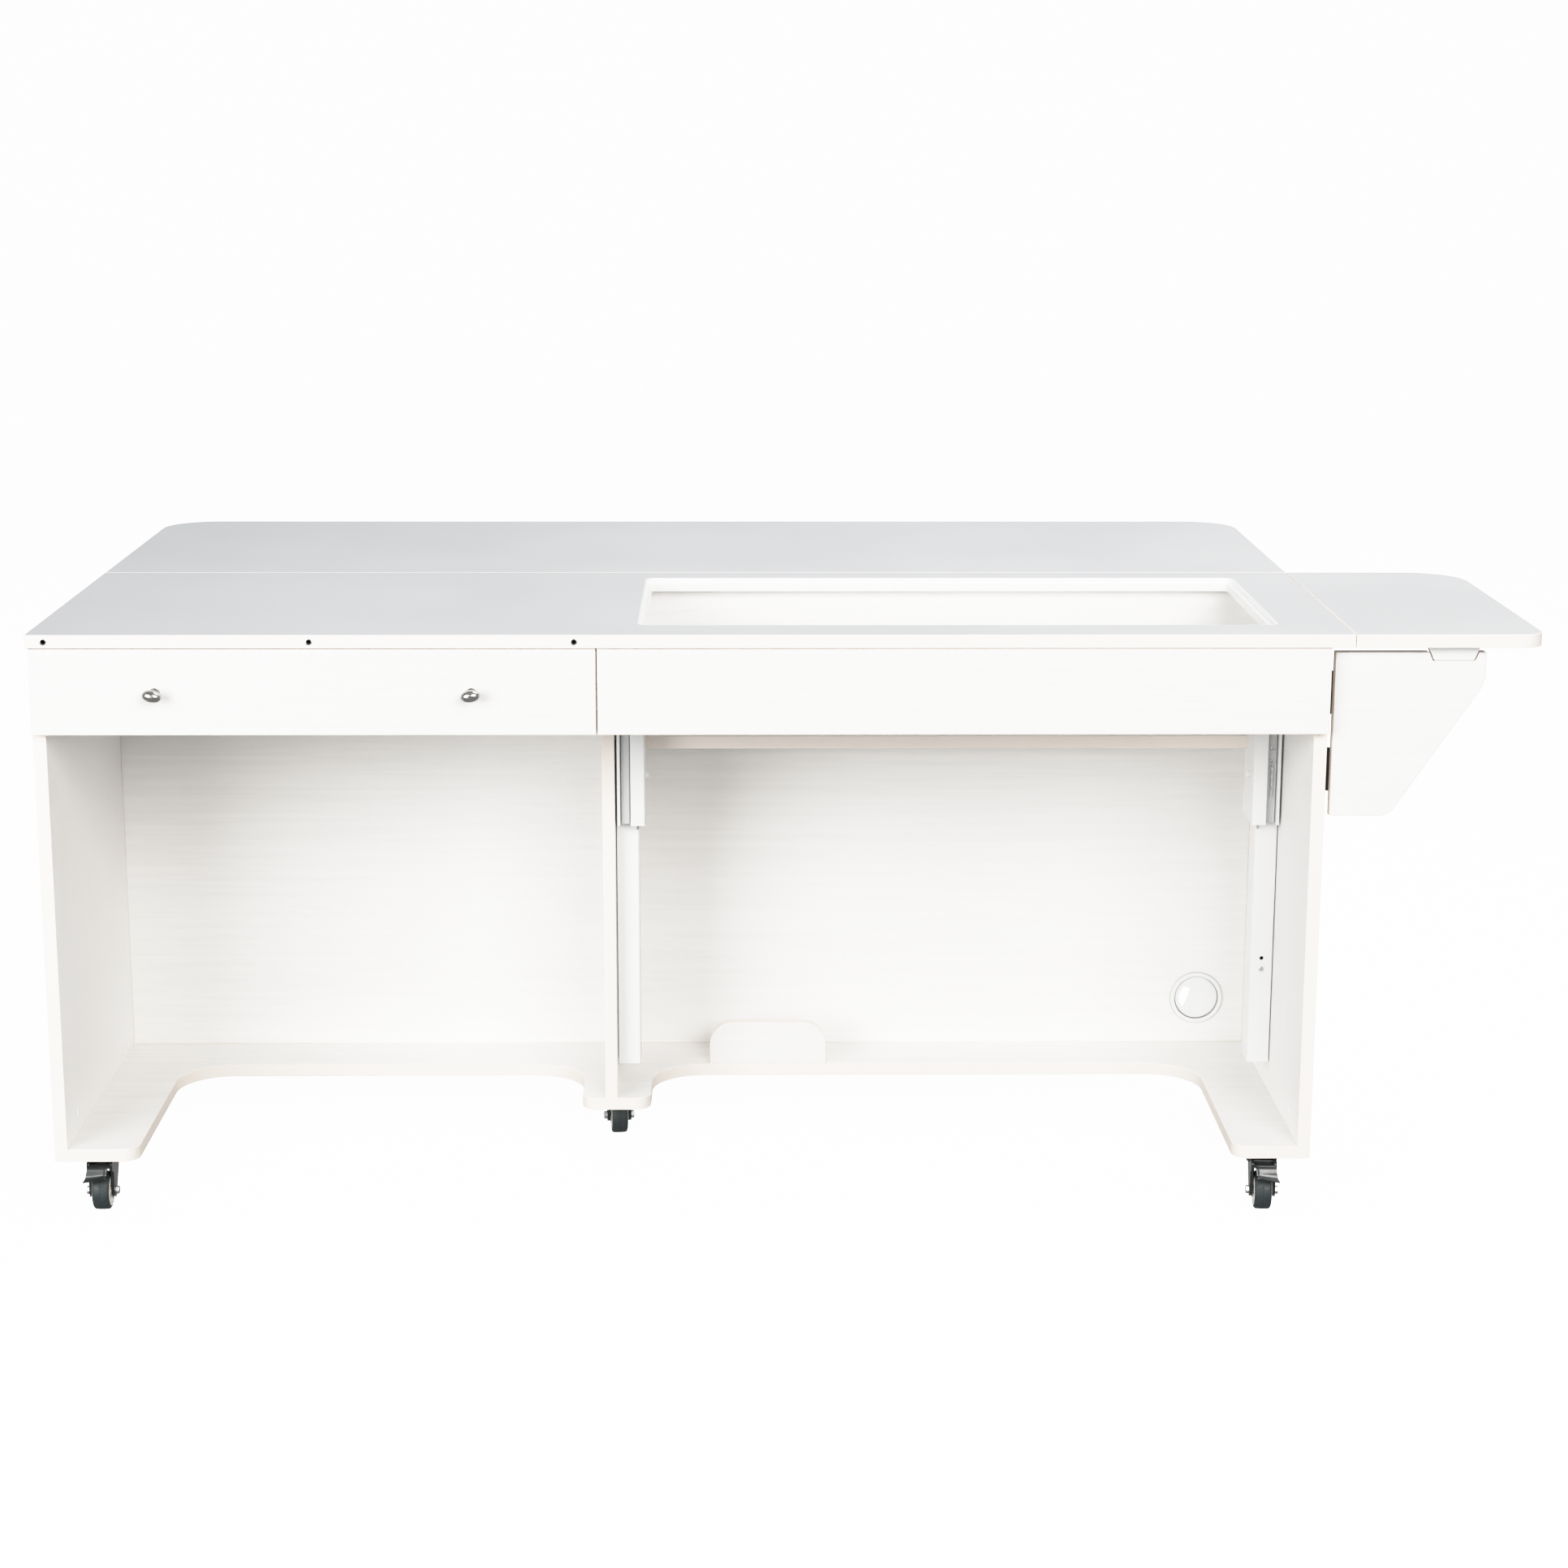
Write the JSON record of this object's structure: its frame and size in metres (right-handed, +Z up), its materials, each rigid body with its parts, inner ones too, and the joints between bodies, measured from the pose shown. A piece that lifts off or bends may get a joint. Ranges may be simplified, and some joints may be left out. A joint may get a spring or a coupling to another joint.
{
  "type": "sewing table",
  "caption": "White sewing table on casters with a stepped machine cut-out over a lift, a wide drawer, a swing-bracket side leaf and a deep back leaf.",
  "frame": {"origin": "on the floor under the middle of the whole table's bounding box, knobs and side leaf included", "axes": "+X to the right as seen by the sewer, +Y to the back, +Z up"},
  "size_m": [1.888, 1.044, 0.767],
  "materials": {
    "worktop_laminate": "smooth cool grey laminate, satin, cream edge band",
    "white_board": "white laminate embossed with a fine wood grain",
    "white_plastic": "white moulded plastic",
    "white_steel": "white powder coat",
    "dark_steel": "dark bronzed steel",
    "zinc_steel": "bright zinc plate",
    "nickel": "brushed nickel",
    "black_metal": "black paint",
    "black_plastic": "black moulded nylon",
    "hub_plastic": "cream moulded nylon",
    "tyre_rubber": "dark grey rubber"
  },
  "bodies": {
    "root": {"back_leaf": "worktop_laminate", "base_board": "white_board", "butt_hinges_fixed": "dark_steel", "cam_covers": "white_plastic", "caster_plates": "zinc_steel", "center_divider": "white_board", "drawer_runners_fixed": "zinc_steel", "edge_inserts": "zinc_steel", "front_apron": "white_board", "grommet_ring": "white_plastic", "leaf_catch": "white_plastic", "leaf_hinges": "zinc_steel", "left_side_panel": "white_board", "lift_gas_cylinders": "black_metal", "lift_rail_left": "white_steel", "lift_rail_right": "white_steel", "modesty_panel": "white_board", "pedal_stop_board": "white_board", "rail_screw": "zinc_steel", "right_side_panel": "white_board", "side_leaf": "worktop_laminate", "worktop": "worktop_laminate"},
    "drawer": {"drawer_front": "white_board", "drawer_sides": "white_board", "drawer_back": "white_board", "drawer_bottom": "white_board", "drawer_runners_moving": "zinc_steel", "drawer_knobs": "nickel"},
    "lift": {"lift_carriage_left": "white_steel", "lift_carriage_right": "white_steel", "lift_guide_strips": "zinc_steel", "lift_fasteners": "white_plastic", "lift_angle_brackets": "white_steel", "lift_platform": "white_board", "lift_cross_bar": "white_steel", "lift_gas_rods": "zinc_steel"},
    "gate": {"gate_board": "white_board", "gate_hinge_moving": "dark_steel"},
    "back_leg": {"back_leg_board": "white_board", "back_leg_glide": "black_plastic", "back_leg_hinge_moving": "dark_steel"},
    "grommet_cap": {"grommet_cap": "white_plastic"},
    "caster_front_left": {"caster_front_left_fork": "black_plastic", "caster_front_left_axle": "zinc_steel"},
    "caster_front_left_wheel": {"caster_front_left_hub": "hub_plastic", "caster_front_left_tyre": "tyre_rubber"},
    "caster_front_left_pedal": {"caster_front_left_pedal": "black_plastic"},
    "caster_front_right": {"caster_front_right_fork": "black_plastic", "caster_front_right_axle": "zinc_steel"},
    "caster_front_right_wheel": {"caster_front_right_hub": "hub_plastic", "caster_front_right_tyre": "tyre_rubber"},
    "caster_front_right_pedal": {"caster_front_right_pedal": "black_plastic"},
    "caster_middle": {"caster_middle_fork": "black_plastic", "caster_middle_axle": "zinc_steel"},
    "caster_middle_wheel": {"caster_middle_hub": "hub_plastic", "caster_middle_tyre": "tyre_rubber"},
    "caster_rear_left": {"caster_rear_left_fork": "black_plastic"},
    "caster_rear_left_wheel": {"caster_rear_left_wheel": "tyre_rubber"},
    "caster_rear_right": {"caster_rear_right_fork": "black_plastic"},
    "caster_rear_right_wheel": {"caster_rear_right_wheel": "tyre_rubber"}
  },
  "joints": [
    {"name": "drawer_slide", "type": "slide", "parent": "root", "child": "drawer", "axis": [0, -1, 0], "range_m": [0, 0.3]},
    {"name": "lift_slide", "type": "slide", "parent": "root", "child": "lift", "axis": [0, 0, 1], "range_m": [-0.15, 0.1]},
    {"name": "gate_swing", "type": "hinge", "parent": "root", "child": "gate", "pos_m": [0.6836, -0.457, 0.636], "axis": [0, 0, 1], "range_deg": [0, 90]},
    {"name": "back_leg_swing", "type": "hinge", "parent": "root", "child": "back_leg", "pos_m": [-0.131, -0.0085, 0.4], "axis": [0, 0, 1], "range_deg": [0, 90]},
    {"name": "grommet_cap_turn", "type": "hinge", "parent": "root", "child": "grommet_cap", "pos_m": [0.594, -0.028, 0.157], "axis": [0, -1, 0], "continuous": true},
    {"name": "caster_front_left_swivel", "type": "hinge", "parent": "root", "child": "caster_front_left", "pos_m": [-0.89, -0.43, 0.065], "axis": [0, 0, 1], "continuous": true},
    {"name": "caster_front_left_roll", "type": "hinge", "parent": "caster_front_left", "child": "caster_front_left_wheel", "pos_m": [-0.88969, -0.448, 0.025], "axis": [0.9998, 0.0175, 0], "continuous": true},
    {"name": "caster_front_left_brake", "type": "hinge", "parent": "caster_front_left", "child": "caster_front_left_pedal", "pos_m": [-0.88945, -0.4612, 0.062], "axis": [0.9998, 0.0175, 0], "range_deg": [0, 10]},
    {"name": "caster_front_right_swivel", "type": "hinge", "parent": "root", "child": "caster_front_right", "pos_m": [0.623, -0.442, 0.065], "axis": [0, 0, 1], "continuous": true},
    {"name": "caster_front_right_roll", "type": "hinge", "parent": "caster_front_right", "child": "caster_front_right_wheel", "pos_m": [0.62174, -0.45996, 0.025], "axis": [0.9976, -0.0698, 0], "continuous": true},
    {"name": "caster_front_right_brake", "type": "hinge", "parent": "caster_front_right", "child": "caster_front_right_pedal", "pos_m": [0.62082, -0.47312, 0.062], "axis": [0.9976, -0.0698, 0], "range_deg": [0, 10]},
    {"name": "caster_middle_swivel", "type": "hinge", "parent": "root", "child": "caster_middle", "pos_m": [-0.231, -0.135, 0.065], "axis": [0, 0, 1], "continuous": true},
    {"name": "caster_middle_roll", "type": "hinge", "parent": "caster_middle", "child": "caster_middle_wheel", "pos_m": [-0.22912, -0.1529, 0.025], "axis": [0.9945, 0.1045, 0], "continuous": true},
    {"name": "caster_rear_left_swivel", "type": "hinge", "parent": "root", "child": "caster_rear_left", "pos_m": [-0.894, -0.07, 0.065], "axis": [0, 0, 1], "continuous": true},
    {"name": "caster_rear_left_roll", "type": "hinge", "parent": "caster_rear_left", "child": "caster_rear_left_wheel", "pos_m": [-0.8915, -0.05217, 0.025], "axis": [-0.9903, 0.1392, 0], "continuous": true},
    {"name": "caster_rear_right_swivel", "type": "hinge", "parent": "root", "child": "caster_rear_right", "pos_m": [0.63, -0.07, 0.065], "axis": [0, 0, 1], "continuous": true},
    {"name": "caster_rear_right_roll", "type": "hinge", "parent": "caster_rear_right", "child": "caster_rear_right_wheel", "pos_m": [0.62534, -0.05261, 0.025], "axis": [-0.9659, -0.2588, 0], "continuous": true}
  ]
}
